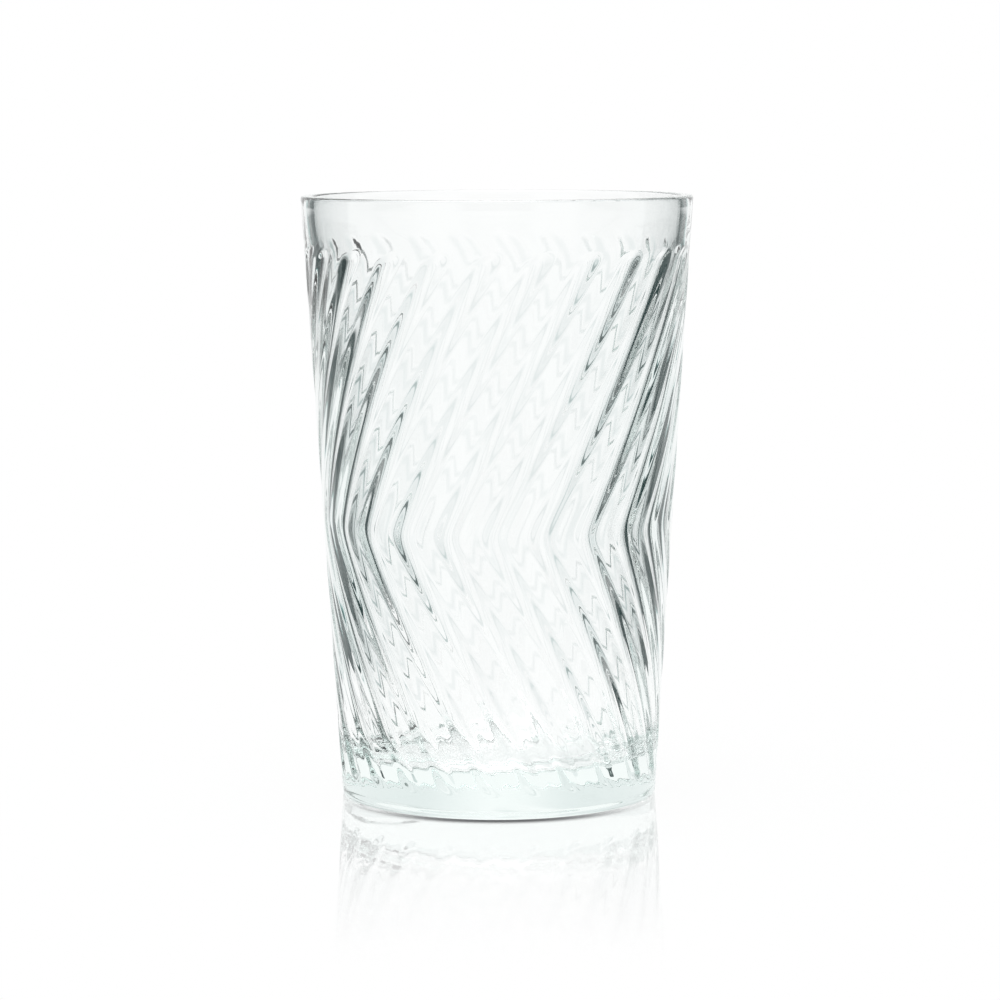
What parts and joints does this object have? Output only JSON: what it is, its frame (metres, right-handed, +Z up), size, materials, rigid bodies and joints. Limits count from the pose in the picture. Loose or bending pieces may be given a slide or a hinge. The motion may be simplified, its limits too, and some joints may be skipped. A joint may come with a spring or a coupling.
{
  "type": "whisky tumbler",
  "caption": "Clear pressed-glass whisky tumbler, tapering to a thick flat foot, with chevron flutes pressed round the wall below a plain drinking rim.",
  "frame": {"origin": "centre of the resting ring, on the surface that the glass stands on", "axes": "+Z up along the glass's axis, -Y towards the side that was pictured"},
  "size_m": [0.082, 0.082, 0.126],
  "materials": {
    "clear_glass": "fire-polished clear pressed glass, faintly green in the thick foot"
  },
  "bodies": {
    "root": {"tumbler": "clear_glass"}
  },
  "joints": []
}
